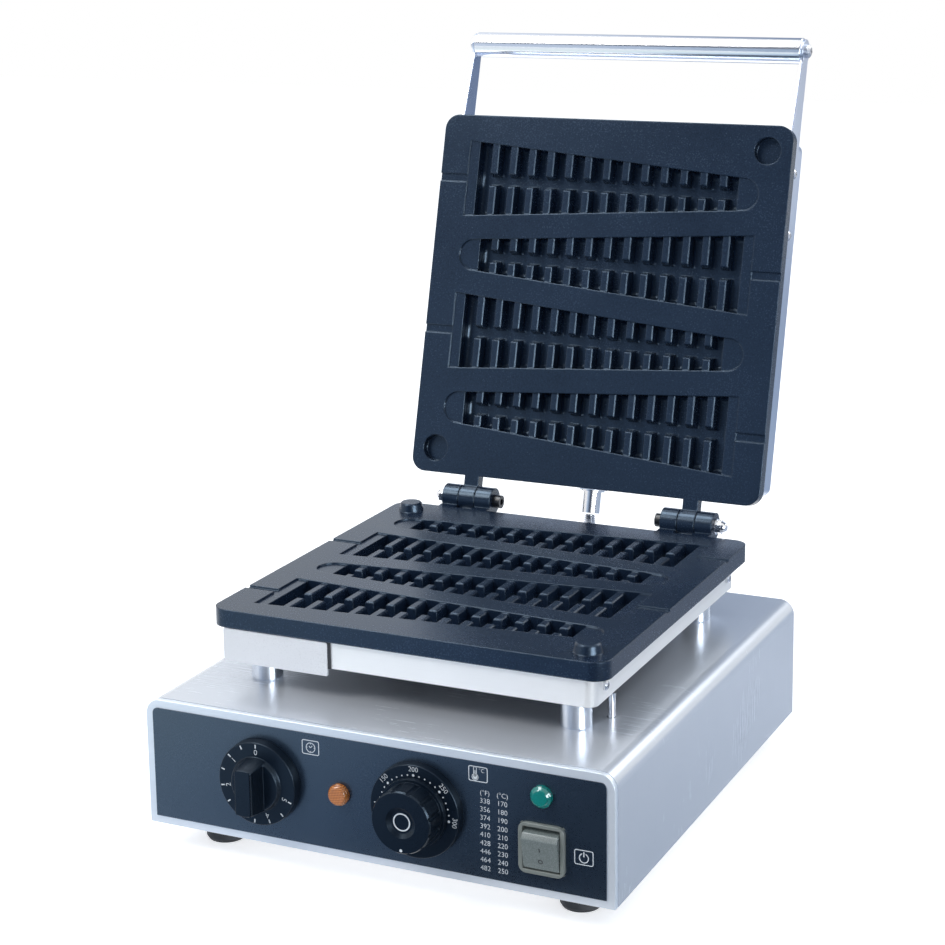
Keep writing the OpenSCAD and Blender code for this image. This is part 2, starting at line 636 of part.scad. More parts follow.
module hinge_washer() color([0.75, 0.76, 0.78]) at_hinges() translate([0, 0, grip_l]) difference() {
  cylinder(h = washer_t, r = washer_r);
  translate([0, 0, -1]) cylinder(h = washer_t + 2, r = bolt_d / 2 + 0.1);
}

module hinge_nut() color([0.85, 0.86, 0.88]) at_hinges() translate([0, 0, grip_l + washer_t]) difference() {
  union() {
    cylinder(h = nut_h, r = nut_r, $fn = 6);
    intersection() {
      translate([0, 0, nut_h]) sphere(acorn_r);
      cylinder(h = nut_h + acorn_r + 1, r = acorn_r + 1);
    }
  }
  translate([0, 0, -1]) cylinder(h = nut_h + 1.2, r = bolt_d / 2 + 0.03);
}

// ---- lid ----

module at_cover_screws() {
  for (i = [-1, 1], j = [-1, 1]) translate([i * (tray_w / 2 - 22), cover_y + j * (tray_w / 2 - 22), cover_z1]) children();
}

module at_arm_screws() {
  for (i = [-1, 1], y = [arm_s1, arm_s2]) translate([i * (arm_x + arm_t), y, arm_z]) rotate([0, i * 90, 0]) children();
}

module upper_cover() color([0.82, 0.85, 0.9]) lid_turn() difference() {
  translate([0, cover_y, cover_z1]) mirror([0, 0, 1]) tray_pan(cover_h);
  at_cover_screws() cylinder(h = 4 * sheet_t, r = 1.7, center = true);
  at_arm_screws() cylinder(h = 20, r = 1.7, center = true);
  translate([0, cover_y + tray_w / 2, cond_z]) rotate([90, 0, 0]) cylinder(h = 10, r = ferrule_r + 0.1, center = true);
}

module cover_screw() color([0.8, 0.8, 0.82]) lid_turn() at_cover_screws() pan_screw(screw_r, 1.6, 9);

module upper_heater() color([0.35, 0.34, 0.33]) lid_turn()
  translate([0, cover_y, z_lid + lid_plate_t + lid_block_t + heat_r]) heater_loop(tray_w * 0.32, heat_r);

module upper_insulation() color([0.9, 0.89, 0.85]) lid_turn()
  translate([0, cover_y, z_lid + lid_plate_t + lid_block_t + 2 * heat_r])
    linear_extrude(cover_z1 - sheet_t - 0.2 - (z_lid + lid_plate_t + lid_block_t + 2 * heat_r)) difference() {
      square(tray_w - 24, center = true);
      for (i = [-1, 1], j = [-1, 1]) translate([i * (tray_w / 2 - 22), j * (tray_w / 2 - 22)]) square(21, center = true);
      translate([0, tray_w / 2 - 12]) square(26, center = true);
    }

// Outline of a handle arm seen from the side, in Y and Z
module arm_2d() {
  polygon([[arm_y0, arm_z - arm_low], [arm_y0, arm_z + arm_low], [arm_y1, arm_z + arm_low],
    [arm_y1 - 14, arm_z + 8.8], [handle_y + 8, handle_z + 5.2], [handle_y, handle_z + 5.2],
    [handle_y, handle_z - 5.2], [handle_y + 8, handle_z - 5.2], [arm_y1 - 14, arm_z - 7.6], [arm_y1, arm_z - arm_low]]);
  translate([handle_y, handle_z]) circle(arm_tip_r);
}

module arm(i) lid_turn() difference() {
  along_x(i > 0 ? arm_x : -arm_x - arm_t, i > 0 ? arm_x + arm_t : -arm_x) arm_2d();
  at_arm_screws() cylinder(h = 20, r = 1.7, center = true);
  translate([0, handle_y, handle_z]) rotate([0, 90, 0]) cylinder(h = 2 * tray_w, r = 2.1, center = true);
}

module arm_left() color([0.72, 0.76, 0.86]) arm(-1);
module arm_right() color([0.72, 0.76, 0.86]) arm(1);

module arm_screw() color([0.8, 0.8, 0.82]) lid_turn() at_arm_screws() pan_screw(screw_r, 1.6, 7);

module handle_tube() color([0.85, 0.87, 0.9]) lid_turn() translate([0, handle_y, handle_z]) rotate([0, 90, 0])
  difference() {
    cylinder(h = 2 * arm_x, r = tube_d / 2, center = true);
    cylinder(h = 2 * arm_x - 24, r = tube_d / 2 - 1.2, center = true);
    cylinder(h = 2 * arm_x + 2, r = 2.1, center = true);
  }

module handle_screw() color([0.8, 0.8, 0.82]) lid_turn() for (i = [-1, 1])
  translate([i * (arm_x + arm_t), handle_y, handle_z]) rotate([0, i * 90, 0]) pan_screw(4.2, 2, 12);

// ---- conduit and sensor ----

// A gland standing on a sheet, its foot at Z = 0 and its back nut behind a sheet of thickness t
module gland(t) difference() {
  union() {
    cylinder(h = gland_l - 1, r = nut_w / 2 / cos(30), $fn = 6);
    translate([0, 0, gland_l - 1 - e]) cylinder(h = 1, r = nut_w / 2 - 0.6);
    translate([0, 0, gland_l - 2 * e]) cylinder(h = ferrule_l, r = ferrule_r);
    translate([0, 0, -t - 6]) cylinder(h = t + 6 + e, r = ferrule_r - 0.1);
    translate([0, 0, -t - 4]) cylinder(h = 4, r = nut_w / 2 / cos(30), $fn = 6);
  }
  translate([0, 0, -t - 7]) cylinder(h = t + gland_l + ferrule_l + 9, r = hose_r - 1.4);
}

module conduit_base_fitting() color([0.82, 0.83, 0.85])
  translate([0, y_back, base_cz]) rotate([-90, 0, 0]) gland(rear_t);

module conduit_lid_fitting() color([0.82, 0.83, 0.85]) lid_turn()
  translate([0, cover_y + tray_w / 2, cond_z]) rotate([-90, 0, 0]) gland(sheet_t);

// One bend of the hose in the YZ plane: start at (y, z) heading h, turning by t degrees at radius r
module bend_tube(y, z, h, t, r) {
  s = t > 0 ? 1 : -1;
  translate([0, y - s * r * sin(h), z + s * r * cos(h)]) rotate([90, 0, 90])
    rotate(s > 0 ? h - 90 : h + 90 + t) rotate_extrude(angle = abs(t)) translate([r, 0]) circle(hose_r);
}

module conduit_hose() color([0.6, 0.61, 0.63]) {
  translate([0, hose_ay, base_cz]) rotate([-90, 0, 0]) cylinder(h = hose_a, r = hose_r);
  bend_tube(hose_ay + hose_a, base_cz, 0, hose_beta, hose_bend);
  translate([0, hose_p1[0], hose_p1[1]]) rotate([hose_beta - 90, 0, 0]) translate([0, 0, -0.4])
    cylinder(h = hose_len + 0.8, r = hose_r + 0.08);
  bend_tube(hose_p2[0], hose_p2[1], hose_beta, hose_gamma - hose_beta, hose_bend);
}

module sensor_tube() color([0.8, 0.82, 0.84])
  translate([probe_x, probe_y, z_deck - 8]) cylinder(h = post_h + 8 + sheet_t + 1.6, r = probe_r);

module sensor_grommet() color([0.05, 0.05, 0.055]) translate([probe_x, probe_y, z_tray - 3.2]) difference() {
  cylinder(h = 3.2, r = 3.6);
  translate([0, 0, -1]) cylinder(h = 6, r = probe_r + 0.02);
}

// Moves a piece from the cabinet's own centre to the origin
module placed() {
  translate([0, -middle_y, 0]) children();
}

placed() base_shell();
placed() front_panel();
placed() control_overlay();
placed() rear_panel();
placed() bottom_plate();
placed() cord_gland();
placed() foot();
placed() foot_screw();
placed() panel_screw();
placed() timer_body();
placed() timer_knob();
placed() thermostat_body();
placed() thermostat_dial();
placed() thermostat_knob();
placed() orange_lamp_body();
placed() orange_lens();
placed() green_lamp_body();
placed() green_lens();
placed() switch_housing();
placed() switch_rocker();
placed() post();
placed() post_screw();
placed() lower_tray();
placed() tray_screw();
placed() lower_heater();
placed() lower_insulation();
placed() lower_plate();
placed() sensor_tube();
placed() sensor_grommet();
placed() hinge_bolt();
placed() hinge_washer();
placed() hinge_nut();
placed() upper_plate();
placed() upper_heater();
placed() upper_insulation();
placed() upper_cover();
placed() cover_screw();
placed() arm_left();
placed() arm_right();
placed() arm_screw();
placed() handle_tube();
placed() handle_screw();
placed() conduit_base_fitting();
placed() conduit_lid_fitting();
placed() conduit_hose();
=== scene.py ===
# %% [markdown]
# # A four-place stick-waffle baker
# The metalwork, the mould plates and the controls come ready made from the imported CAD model.
# Each is its own object, in metres.
# This file gives them their finishes and adds what a maker prints or fits last:
# scales, signs, lens patterns, a blank plate and the ribbed hose.
# The frame is loaded first, and marks are placed from its boxes.
# So each mark stays on the piece that carries it.

# %% Load the frame
import math

import bpy
from mathutils import Matrix, Vector


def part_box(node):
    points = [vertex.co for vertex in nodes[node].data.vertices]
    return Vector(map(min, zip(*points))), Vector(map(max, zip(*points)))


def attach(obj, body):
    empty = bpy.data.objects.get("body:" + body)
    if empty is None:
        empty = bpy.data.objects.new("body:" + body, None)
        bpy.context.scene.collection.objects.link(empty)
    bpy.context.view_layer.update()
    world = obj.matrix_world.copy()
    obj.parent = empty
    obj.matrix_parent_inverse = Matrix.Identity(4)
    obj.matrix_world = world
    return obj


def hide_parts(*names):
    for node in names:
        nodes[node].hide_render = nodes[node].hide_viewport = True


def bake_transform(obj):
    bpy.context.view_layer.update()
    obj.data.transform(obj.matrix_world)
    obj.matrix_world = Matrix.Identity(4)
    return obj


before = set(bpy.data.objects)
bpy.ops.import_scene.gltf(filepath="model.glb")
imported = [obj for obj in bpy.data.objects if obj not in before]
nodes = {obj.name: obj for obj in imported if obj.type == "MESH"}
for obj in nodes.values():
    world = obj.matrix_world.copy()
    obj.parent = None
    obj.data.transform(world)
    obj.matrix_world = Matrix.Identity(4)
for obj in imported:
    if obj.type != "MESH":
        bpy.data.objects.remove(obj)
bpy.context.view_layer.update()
MM = 0.001
cabinet_low, cabinet_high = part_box("front_panel")[0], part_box("rear_panel")[1]
HOME = Vector(((cabinet_low.x + cabinet_high.x) / 2, (cabinet_low.y + cabinet_high.y) / 2, 0))
print("cabinet's middle:", tuple(round(c, 5) for c in HOME))

# %% [markdown]
# ## Camera
# The machine is seen from its front right corner, a little from above.
# A long lens keeps the cabinet's sides almost parallel.
# A camera can be aimed with a constraint, but this one also leans by less than a degree.
# So its three axes are worked out from the angles.
# The picture is 945 pixels square, and the vertical shift puts the lens's axis a little above its middle.

# %% The camera and its angles
AZIMUTH, ELEVATION, LEAN = math.radians(25.332), math.radians(11.954), math.radians(-0.81)
PICTURE = 945
FOCAL_PX = 2233.07
CENTRE_RISE_PX = 122.5
STAND_POINT = (0.5288, -1.1331, 0.5318)

back = Vector((
    math.sin(AZIMUTH) * math.cos(ELEVATION),
    -math.cos(AZIMUTH) * math.cos(ELEVATION),
    math.sin(ELEVATION),
))
level = (-back).cross(Vector((0, 0, 1))).normalized()
upright = level.cross(-back)
right = level * math.cos(LEAN) + upright * math.sin(LEAN)
up = upright * math.cos(LEAN) - level * math.sin(LEAN)

bpy.ops.object.camera_add(location=(0, 0, 0))
camera = bpy.context.object
camera.name = "camera"
camera_turn = Matrix((right, up, back)).transposed().to_4x4()
camera.matrix_world = Matrix.Translation(HOME + Vector(STAND_POINT)) @ camera_turn
camera.data.sensor_width = 36
camera.data.lens = FOCAL_PX / PICTURE * camera.data.sensor_width
camera.data.shift_y = -CENTRE_RISE_PX / PICTURE
camera.data.clip_start, camera.data.clip_end = 0.05, 50
bpy.context.scene.camera = camera
bpy.context.scene.view_settings.view_transform = "Standard"
print("lens mm:", round(camera.data.lens, 2))

# %% [markdown]
# ## Conduit hose
# A steel conduit carries the lid heater's wires from the back of the cabinet up into the lid.
# It is a strip wound into rings, so that it bends but can't kink.
# It could be a plain tube with a bump, but its outline is ribbed.
# So one ring is extruded from a circle, repeated by an Array and laid along the route by a Curve modifier.
# The route is the CAD one: straight out of the back and one bend up and over,
# then a short straight and a second bend up into the lid's fitting.

# %% The hose's route
HOSE_R, HOSE_BEND, HOSE_START = 3.6, 27.5, 2.0
LID_OPEN = 105.4
LID_BACK = math.radians(180 - LID_OPEN)
FITTING_HALF = 9
fitting_low, fitting_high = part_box("conduit_base_fitting")
BASE_END = (fitting_high[1] / MM, fitting_low[2] / MM + FITTING_HALF)
LID_END = (158.62 + HOME.y / MM, 127.85)


def hose_route(step=2.0):
    """Points in Y and Z, in millimetres, from the cabinet's fitting to the lid's."""
    y0, z0 = BASE_END
    reach = LID_END[0] - y0 - HOSE_START + HOSE_BEND * math.sin(LID_BACK)
    rise = LID_END[1] - z0 - HOSE_BEND * (1 + math.cos(LID_BACK))
    straight = math.sqrt(reach**2 + rise**2 - 4 * HOSE_BEND**2)
    turn = math.atan2(rise, reach) + math.atan2(2 * HOSE_BEND, straight)
    total = HOSE_START + HOSE_BEND * turn + straight + HOSE_BEND * (turn - LID_BACK)
    legs = ((HOSE_START, 0), (HOSE_BEND * turn, 1), (straight, 0), (HOSE_BEND * (turn - LID_BACK), -1))
    points = []
    count = round(total / step)
    for k in range(count + 1):
        s = total * k / count
        y, z, heading = y0, z0, 0.0
        for length, bend in legs:
            go = min(s, length)
            if bend:
                new = heading + bend * go / HOSE_BEND
                y += bend * HOSE_BEND * (math.sin(new) - math.sin(heading))
                z -= bend * HOSE_BEND * (math.cos(new) - math.cos(heading))
                heading = new
            else:
                y, z = y + go * math.cos(heading), z + go * math.sin(heading)
            s -= go
        points.append((0.0, y * MM, z * MM))
    return points, total


route, hose_length = hose_route()
print("hose length mm:", round(hose_length, 1), "from", route[0], "to", route[-1])

# %% One ring of the hose, repeated along the route
RING_PITCH = 1.3
RING_SIDES = 20
GROOVE = 0.84


def only(piece):
    """Select one piece and make it the active one."""
    bpy.ops.object.select_all(action="DESELECT")
    piece.select_set(True)
    bpy.context.view_layer.objects.active = piece


def raise_edge(dz, scale):
    """Extrude what is selected along Z and scale the new edge in X and Y."""
    bpy.ops.mesh.extrude_region_move(TRANSFORM_OT_translate={"value": (0, 0, dz)})
    bpy.ops.transform.resize(value=(scale, scale, 1))


bpy.ops.object.select_all(action="DESELECT")
bpy.ops.mesh.primitive_circle_add(vertices=RING_SIDES, radius=HOSE_R * GROOVE * MM, fill_type="NOTHING")
hose = bpy.context.object
bpy.ops.object.mode_set(mode="EDIT")
bpy.ops.mesh.select_all(action="SELECT")
for dz, scale in ((0.22, 1 / GROOVE), (0.43, 1), (0.22, GROOVE), (0.43, 1)):
    raise_edge(dz * MM, scale)
bpy.ops.object.mode_set(mode="OBJECT")

curve_data = bpy.data.curves.new("hose_route", "CURVE")
curve_data.dimensions = "3D"
line = curve_data.splines.new("POLY")
line.points.add(len(route) - 1)
for spot, place in zip(line.points, route):
    spot.co = (*place, 1)
route_curve = bpy.data.objects.new("hose_route", curve_data)
bpy.context.scene.collection.objects.link(route_curve)

only(hose)
rings = hose.modifiers.new("rings", "ARRAY")
rings.count = int(hose_length / RING_PITCH)
rings.use_relative_offset, rings.use_constant_offset = False, True
rings.constant_offset_displace = (0, 0, RING_PITCH * MM)
rings.use_merge_vertices, rings.merge_threshold = True, 0.00002
follow = hose.modifiers.new("follow", "CURVE")
follow.object, follow.deform_axis = route_curve, "POS_Z"
bpy.ops.object.modifier_apply(modifier="rings")
bpy.ops.object.modifier_apply(modifier="follow")
bpy.ops.object.mode_set(mode="EDIT")
bpy.ops.mesh.select_all(action="SELECT")
bpy.ops.mesh.normals_make_consistent(inside=False)
bpy.ops.object.mode_set(mode="OBJECT")
bpy.ops.object.shade_smooth_by_angle(angle=math.radians(50))
bpy.data.objects.remove(route_curve)
hose.name = hose.data.name = "ribbed_hose"
print("hose:", len(hose.data.polygons), "faces")

# %% [markdown]
# ## Shader arithmetic
# A finish is easiest to read as a formula: grain plus blotches times a mask.
# Field wraps one socket of a material, so that +, - and * between fields add the Math nodes.
# Any other node comes from paint.node.

# %% A small language for shaders
OBJECT_COORDINATES = 3
CAMERA_RAY, GLOSSY_RAY, TRANSMISSION_RAY = 0, 3, 6


class Field:
    """One output socket. Arithmetic between fields and numbers adds Math nodes."""

    def __init__(self, paint, socket):
        self.paint, self.socket = paint, socket

    def math(self, operation, *others):
        return self.paint.node("Math", {"operation": operation}, (self, *others))

    def __add__(self, other):
        return self.math("ADD", other)

    def __mul__(self, other):
        return self.math("MULTIPLY", other)

    def __sub__(self, other):
        return self.math("SUBTRACT", other)

    def __rsub__(self, other):
        return self.paint.node("Math", {"operation": "SUBTRACT"}, (other, self))

    def clipped(self):
        return self.paint.node("Clamp", {}, (self,))

    __radd__, __rmul__ = __add__, __mul__


class Paint:
    """A material or world under construction."""

    def __init__(self, name, tree=None):
        self.material = None
        if tree is None:
            self.material = bpy.data.materials.new(name)
            self.material.use_nodes = True
            tree = self.material.node_tree
        self.tree = tree
        tree.nodes.clear()

    def node(self, kind, settings=None, values=(), out=0):
        """Add a node: its settings first, then its sockets by number or name, given as a list or a dict."""
        made = self.tree.nodes.new("ShaderNode" + kind)
        for key, value in (settings or {}).items():
            if key == "stops":
                while len(made.color_ramp.elements) < len(value):
                    made.color_ramp.elements.new(0.5)
                for element, (place, colour) in zip(made.color_ramp.elements, value):
                    element.position = place
                    element.color = (*colour, 1)
            else:
                setattr(made, key, value)
        pairs = values.items() if isinstance(values, dict) else enumerate(values)
        for key, value in pairs:
            socket = made.inputs[key]
            if isinstance(value, Field):
                self.tree.links.new(value.socket, socket)
            elif value is not None:
                socket.default_value = (*value, 1) if socket.type == "RGBA" and len(value) == 3 else value
        return Field(self, made.outputs[out]) if made.outputs else made

    def place(self, scale=(1, 1, 1), turn=(0, 0, 0)):
        """Object coordinates in metres, scaled or turned for a pattern."""
        spot = self.node("TexCoord", out=OBJECT_COORDINATES)
        return self.node("Mapping", {}, {"Vector": spot, "Rotation": turn, "Scale": scale})

    def along(self, axis):
        """One object coordinate in metres. The axes are 0, 1 and 2."""
        spot = self.node("TexCoord", out=OBJECT_COORDINATES)
        return self.node("SeparateXYZ", {}, (spot,), out=axis)

    def noise(self, scale, detail=3, stretch=(1, 1, 1), rough=0.5):
        spot = self.place(stretch)
        settings = {"Vector": spot, "Scale": scale, "Detail": detail, "Roughness": rough}
        return self.node("TexNoise", {}, settings)

    def ramp(self, factor, *stops):
        return self.node("ValToRGB", {"stops": stops}, (factor,))

    def mix(self, factor, first, second):
        """Mix two colours, which are sockets 6 and 7 of the node."""
        return self.node("Mix", {"data_type": "RGBA"}, {0: factor, 6: first, 7: second}, out=2)

    def bump(self, height, strength, depth, normal=None):
        settings = {"Strength": strength, "Distance": depth, "Height": height, "Normal": normal}
        return self.node("Bump", {}, settings)

    def surface(self, **sockets):
        """Finish with a Principled shader. Socket names are written with _ for a space."""
        shader = self.node("BsdfPrincipled", {}, {k.replace("_", " "): v for k, v in sockets.items()})
        self.node("OutputMaterial", {}, {"Surface": shader})
        return self.material


def print_finish(material):
    print("finish:", material.name, len(material.node_tree.nodes), "nodes")
    return material


# %% [markdown]
# ## Studio
# The baker stands on a plain white sweep.
# The background is white only to the eye of the camera, to gloss and to glass.
# The light that falls on the object stays at a plain level, from a soft sky and two large lamps.
# So a colour renders about as it is written.
# Polished steel is a mirror, and in an all-white room it has no form.
# So grey and pale cards that only gloss can see lie on the floor and stand round it.
# Two more are bright, one far to the right and one above, for the rounded edges of the castings to pick up.

# %% World, floor and lamps
world = bpy.data.worlds.new("studio")
bpy.context.scene.world = world
world.use_nodes = True
sky = Paint("studio", world.node_tree)


def seen(paint):
    """1 for rays from the camera, from gloss and through glass, 0 for the light on a matt surface."""
    rays = [paint.node("LightPath", out=k) for k in (CAMERA_RAY, GLOSSY_RAY, TRANSMISSION_RAY)]
    return (rays[0] + rays[1] + rays[2]).clipped()


SKY_LIGHT = 0.60
light = sky.node("Background", {}, ((0.90, 0.95, 1.0), SKY_LIGHT))
white = sky.node("Background", {}, ((1.0, 1.0, 1.0), 1.0))
sky.node("OutputWorld", {}, {"Surface": sky.node("MixShader", {}, (seen(sky), light, white))})

bpy.ops.object.select_all(action="DESELECT")
bpy.ops.mesh.primitive_plane_add(size=8, location=HOME)
floor = bpy.context.object
floor.name = "floor"
pale = Paint("white_sweep")
matt = pale.node("BsdfDiffuse", {}, ((0.80, 0.81, 0.83), 0.0))
glow = pale.node("Emission", {}, ((1, 1, 1), seen(pale) * 0.60))
pale.node("OutputMaterial", {}, {"Surface": pale.node("AddShader", {}, (matt, glow))})
floor.data.materials.append(pale.material)


AIM = (0, 0, 0.15)


def lamp(name, place, size, watts, colour):
    """A round area lamp that looks at the middle of the cabinet."""
    bpy.ops.object.light_add(type="AREA", location=HOME + Vector(place))
    made = bpy.context.object
    made.name = name
    made.data.shape = "DISK"
    made.data.size, made.data.energy, made.data.color = size, watts, colour
    made.rotation_euler = (Vector(AIM) - Vector(place)).to_track_quat("-Z", "Y").to_euler()


lamp("lamp_key", (-1.3, -1.3, 2.0), 1.2, 32, (1.0, 0.98, 0.96))
lamp("lamp_back", (1.0, 1.6, 1.6), 1.4, 16, (0.9, 0.95, 1.0))


def gloss_card(name, low, high, axis, *tones, power=1.0):
    """A flat card that only gloss can see, between two corners. Its tones run evenly along an axis."""
    bpy.ops.object.select_all(action="DESELECT")
    bpy.ops.mesh.primitive_cube_add(size=1, location=[(a + b) / 2 + c for a, b, c in zip(low, high, HOME)])
    card = bpy.context.object
    card.scale = [b - a for a, b in zip(low, high)]
    bpy.ops.object.transform_apply(location=True, rotation=True, scale=True)
    card.name = card.data.name = name
    paint = Paint(name)
    colour = tones[0]
    if len(tones) > 1:
        from_low = paint.along(axis) - (low[axis] + HOME[axis])
        share = (from_low * (1 / (high[axis] - low[axis]))).clipped()
        colour = paint.ramp(share, *[(k / (len(tones) - 1), tone) for k, tone in enumerate(tones)])
    paint.node("OutputMaterial", {}, {"Surface": paint.node("Emission", {}, (colour, power))})
    card.data.materials.append(paint.material)
    card.visible_camera = card.visible_diffuse = card.visible_shadow = card.visible_transmission = False


gloss_card("card_floor_right", (0.146, -0.5, 0.001), (1.7, 0.6, 0.002), 1,
           (0.14, 0.20, 0.30), (0.20, 0.27, 0.38), (0.50, 0.57, 0.70), (0.34, 0.42, 0.56))
gloss_card("card_floor_back", (0.146, 0.6, 0.001), (1.7, 2.0, 0.002), 0, (0.42, 0.50, 0.62))
gloss_card("card_right", (1.8, -0.35, 0.0), (1.801, 2.0, 0.9), 2, (0.40, 0.47, 0.60), (0.60, 0.66, 0.78))
gloss_card("card_floor_left", (-1.8, -1.8, 0.001), (-0.46, -0.175, 0.002), 0, (0.85, 0.93, 1.0))
gloss_card("card_floor_front", (-0.46, -1.8, 0.001), (0.06, -0.175, 0.002), 0,
           (0.90, 1.0, 1.0), (0.85, 0.98, 1.0), (0.66, 0.82, 1.0), (0.30, 0.42, 0.62), (0.02, 0.03, 0.05))
gloss_card("card_floor_dark", (0.06, -1.8, 0.001), (1.2, -0.175, 0.002), 0, (0.02, 0.03, 0.05))
gloss_card("card_front", (-1.6, -2.301, 0.0), (1.2, -2.3, 1.3), 0,
           (0.70, 0.80, 0.95), (0.36, 0.46, 0.62), (0.05, 0.07, 0.11), (0.03, 0.04, 0.07))
gloss_card("card_high_front", (-2.5, -2.901, 1.3), (2.5, -2.9, 4.5), 2, (0.06, 0.08, 0.12))
gloss_card("card_behind", (-0.62, 0.62, 0.08), (0.22, 0.621, 1.1), 0,
           (0.95, 0.98, 1.0), (0.82, 0.89, 1.0), (0.26, 0.33, 0.47), (0.12, 0.17, 0.27))
gloss_card("edge_light_right", (1.79, -1.7, 0.0), (1.791, -0.45, 0.85), 2, (0.90, 0.95, 1.0), power=15.0)
gloss_card("edge_light_top", (-1.5, -0.55, 2.4), (-0.45, 0.45, 2.401), 0, (0.92, 0.96, 1.0), power=11.0)

# %% [markdown]
# ## Finishes in metal
# Stainless sheet is brushed in one direction before it is folded.
# So its grain runs across the deck and down the sides as one.
# The grain is noise stretched hard along X and Z, which moves the roughness and a very shallow bump.
# A second, broad noise gives the faint clouds of handling.
# A mask by height paints the underside of a tray dark and plain, as painted shade under it.


# %% Brushed sheet steel
SHADE_BLEND = 0.25 * MM


def brushed_steel(name, colour, rough, grain=(1, 1, 1), clouds=0.05, relief=0.000002, metal=1.0, dull=None):
    """Grain stretches the noise on each axis, and relief is its depth. Below a given height the colour is
    painted dark, as shade under the piece.
    """
    paint = Paint(name)
    streaks = paint.noise(1200, 3, grain, 0.6)
    fine = paint.noise(2600, 1, grain)
    cloud = paint.noise(14, 3)
    tone = (streaks - 0.5) * 0.5 + (cloud - 0.5) * clouds * 8 + 0.5
    dark = tuple(c * 0.95 for c in colour)
    bright = tuple(min(c * 1.04, 1) for c in colour)
    base = paint.mix(tone.clipped(), dark, bright)
    # Painted shade: below the given height the base colour fades to near black.
    if dull is not None:
        under = ((dull - paint.along(2)) * (1 / SHADE_BLEND)).clipped()
        base = paint.mix(under, base, (0.06, 0.07, 0.09))
    return print_finish(paint.surface(
        Base_Color=base,
        Metallic=metal,
        Roughness=((streaks - 0.5) * 0.05 + (cloud - 0.5) * 0.06 + rough).clipped(),
        Normal=paint.bump(streaks + fine * 0.5, 0.3, relief),
    ))


FOLD_GRAIN = (0.03, 1.6, 0.03)
TRAY_GRAIN = (0.03, 0.03, 1.6)
# The tray's painted shade reaches 0.4 mm above its lowest point.
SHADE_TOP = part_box("lower_tray")[0][2] + 0.4 * MM
steel_sheet = brushed_steel("steel_sheet", (0.72, 0.76, 0.83), 0.26, FOLD_GRAIN, metal=0.45)
steel_tray = brushed_steel("steel_tray", (0.95, 0.955, 0.96), 0.30, TRAY_GRAIN, metal=0.25, dull=SHADE_TOP)
steel_cover = brushed_steel("steel_cover", (0.56, 0.63, 0.76), 0.30, TRAY_GRAIN)
steel_arm = brushed_steel("steel_arm", (0.54, 0.60, 0.72), 0.28, (1, 0.05, 0.05))
steel_bottom = brushed_steel("steel_bottom", (0.55, 0.56, 0.58), 0.42, (0.03, 1, 1))
steel_panel = brushed_steel("steel_panel", (0.78, 0.84, 0.92), 0.38, (0.03, 1, 1), 0.03, metal=0.4)
steel_screw = brushed_steel("steel_screw", (0.66, 0.67, 0.70), 0.25)
steel_hose = brushed_steel("steel_hose", (0.55, 0.57, 0.61), 0.22)
heater_brown = brushed_steel("heater_brown", (0.22, 0.19, 0.17), 0.5, clouds=0.3)
polished = brushed_steel("polished", (0.84, 0.85, 0.88), 0.17, (0.02, 1, 1), 0.02, 0.000004)
turned = brushed_steel("turned", (0.70, 0.74, 0.80), 0.20, (1, 1, 0.05), 0.05, 0.00001)

# %% [markdown]
# ## Non-stick castings, mouldings and print
# The mould plates are cast aluminium with a black non-stick coat.
# The coat is satin, with a fine orange-peel speckle and a trace of blue.
# Knobs, feet and the printed front film have the same make-up, a dark ground with a fine peel.
# So one function serves them all, each with its own colour, gloss and scale.
# The castings and the knobs have many short edges, and a Bevel node in their coats rounds them in shading.


# %% Satin dark coats
def coated(name, colour, rough, speckle, depth, coat=0.0, level=0.5, spread=1.35, edge=None, tint=(1, 1, 1)):
    """Speckle is how fine the peel is and depth its relief. Spread parts the tones. Edge is a radius in mm."""
    paint = Paint(name)
    peel = paint.noise(speckle, 2)
    grit = paint.noise(speckle * 2.7, 1)
    wear = paint.noise(22, 4)
    tone = ((peel - 0.5) * 1.1 + (wear - 0.5) * 0.5 + 0.5).clipped()
    dark = tuple(c * (2 - spread) for c in colour)
    bright = tuple(c * spread for c in colour)
    rounded = paint.node("Bevel", {"samples": 4}, (edge * MM,)) if edge else None
    return print_finish(paint.surface(
        Base_Color=paint.mix(tone, dark, bright),
        Roughness=((peel - 0.5) * 0.2 + (wear - 0.5) * 0.12 + rough).clipped(),
        Normal=paint.bump(peel + grit * 0.6, 0.5, depth, rounded),
        Coat_Weight=coat,
        Coat_Roughness=rough * 0.7,
        Specular_IOR_Level=level,
        Specular_Tint=(*tint, 1),
    ))


BLUE_TINT = (0.60, 0.80, 1.0)
plate_coat = coated("plate_coat", (0.010, 0.020, 0.043), 0.24, 1100, 0.00007,
                    spread=1.6, edge=1.15, tint=BLUE_TINT)
bolt_black = coated("bolt_black", (0.012, 0.014, 0.019), 0.30, 1500, 0.00003)
overlay_film = coated("overlay_film", (0.008, 0.016, 0.032), 0.30, 2200, 0.00002,
                      coat=0.5, level=1.2, spread=1.25, tint=BLUE_TINT)
knob_black = coated("knob_black", (0.003, 0.007, 0.015), 0.32, 1800, 0.00002,
                    level=0.35, edge=0.4, tint=BLUE_TINT)
rubber_black = coated("rubber_black", (0.008, 0.012, 0.020), 0.6, 1200, 0.00004)
switch_grey = coated("switch_grey", (0.200, 0.225, 0.215), 0.36, 1600, 0.00002, spread=1.08)
rocker_grey = coated("rocker_grey", (0.185, 0.220, 0.222), 0.28, 1600, 0.00002, spread=1.08)
pale_moulding = coated("pale_moulding", (0.62, 0.60, 0.54), 0.45, 1600, 0.00002, spread=1.06)
mineral_mat = coated("mineral_mat", (0.66, 0.64, 0.58), 0.9, 420, 0.0006, spread=1.2)
print_white = coated("print_white", (0.66, 0.72, 0.78), 0.5, 1800, 0.00001, spread=1.06)
print_dark = coated("print_dark", (0.02, 0.022, 0.028), 0.5, 1800, 0.00001)
